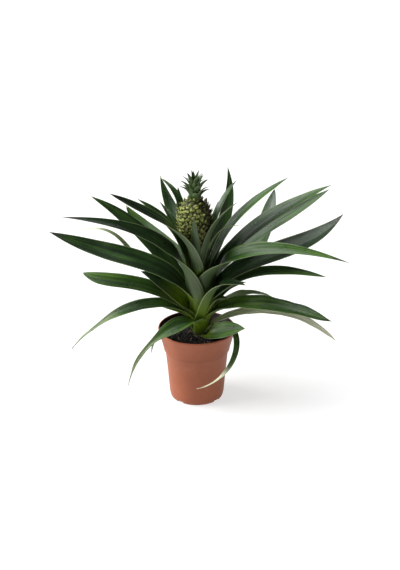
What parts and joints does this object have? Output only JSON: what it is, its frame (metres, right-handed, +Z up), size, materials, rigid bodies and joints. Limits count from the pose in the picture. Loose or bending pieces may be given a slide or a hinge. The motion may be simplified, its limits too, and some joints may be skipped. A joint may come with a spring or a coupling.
{
  "type": "potted pineapple plant",
  "caption": "Small pineapple plant in a plain terracotta-coloured nursery pot, with arching strap leaves, a short stem and one unripe crowned fruit.",
  "frame": {"origin": "centre of the pot's underside, on the surface that it stands on", "axes": "+Z up along the pot's axis, +X to the right across the widest spread of leaves, -Y to the front"},
  "size_m": [0.4505, 0.2701, 0.3736],
  "materials": {
    "pot": "matte terracotta-coloured plastic",
    "soil": "dark crumbly peat with pale fibres",
    "stem": "fleshy pale green stem",
    "fruit": "unripe yellow-green eyes with darker valleys and small bracts",
    "crown": "fleshy green leaflets with dark tips",
    "leaf": "dark green satin leaf with fine lengthwise lines and a pale margin",
    "dry_leaf": "pale drying leaf"
  },
  "bodies": {
    "root": {"pot": "pot", "soil": "soil", "stem": "stem", "fruit": "fruit", "crown": "crown", "leaf_lower_01": "leaf", "leaf_lower_02": "leaf", "leaf_lower_03": "leaf", "leaf_lower_04": "leaf", "leaf_lower_05": "leaf", "leaf_lower_06": "leaf", "leaf_lower_07": "leaf", "leaf_lower_08": "leaf", "leaf_lower_09": "dry_leaf", "leaf_lower_10": "leaf", "leaf_lower_11": "dry_leaf", "leaf_lower_12": "leaf", "leaf_lower_13": "leaf", "leaf_lower_14": "leaf", "leaf_middle_01": "leaf", "leaf_middle_02": "leaf", "leaf_middle_03": "leaf", "leaf_middle_04": "leaf", "leaf_middle_05": "leaf", "leaf_middle_06": "leaf", "leaf_middle_07": "dry_leaf", "leaf_middle_08": "leaf", "leaf_middle_09": "leaf", "leaf_middle_10": "leaf", "leaf_middle_11": "leaf", "leaf_middle_12": "leaf", "leaf_middle_13": "leaf", "leaf_middle_14": "leaf", "leaf_middle_15": "leaf", "leaf_middle_16": "leaf", "leaf_middle_17": "leaf", "leaf_middle_18": "leaf", "leaf_upper_01": "leaf", "leaf_upper_02": "leaf", "leaf_upper_03": "leaf", "leaf_upper_04": "leaf", "leaf_upper_05": "leaf", "leaf_upper_06": "leaf", "leaf_upper_07": "leaf", "leaf_upper_08": "leaf", "leaf_upper_09": "leaf", "leaf_upper_10": "leaf", "leaf_upper_11": "leaf", "leaf_upper_12": "leaf", "leaf_upper_13": "dry_leaf", "leaf_upper_14": "leaf"}
  },
  "joints": []
}
